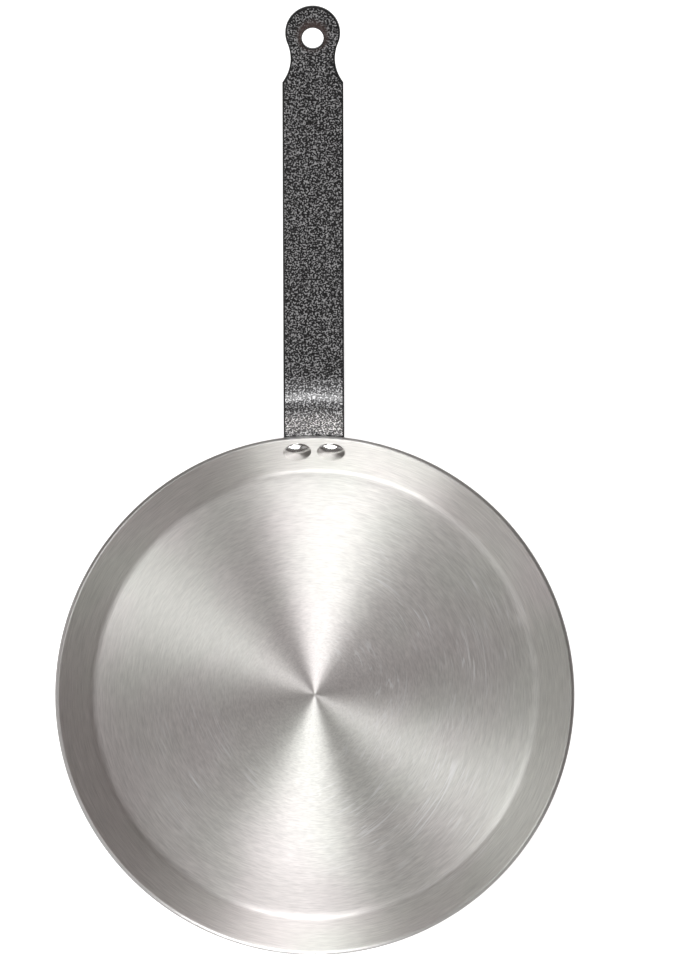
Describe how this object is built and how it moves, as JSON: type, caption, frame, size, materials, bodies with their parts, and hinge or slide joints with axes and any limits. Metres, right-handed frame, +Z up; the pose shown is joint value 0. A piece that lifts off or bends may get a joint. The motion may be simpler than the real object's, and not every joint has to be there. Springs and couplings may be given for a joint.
{
  "type": "crepe pan",
  "caption": "Low round steel crepe pan with a flared wall and a riveted flat strip handle that ends in a hanging hole.",
  "frame": {"origin": "centre of the flat underside, where the pan stands", "axes": "+Z up out of the pan, +Y along the handle away from the pan, +X to the right of someone who looks along the handle from the pan"},
  "size_m": [0.24, 0.437, 0.0907],
  "materials": {
    "brushed_plate": "turned and brushed in rings about the centre, bare",
    "hammered_paint": "dark grey hammered paint",
    "rivet_steel": "turned, bare"
  },
  "bodies": {
    "root": {"pan_body": "brushed_plate", "handle": "hammered_paint", "rivet_left": "rivet_steel", "rivet_right": "rivet_steel"}
  },
  "joints": []
}
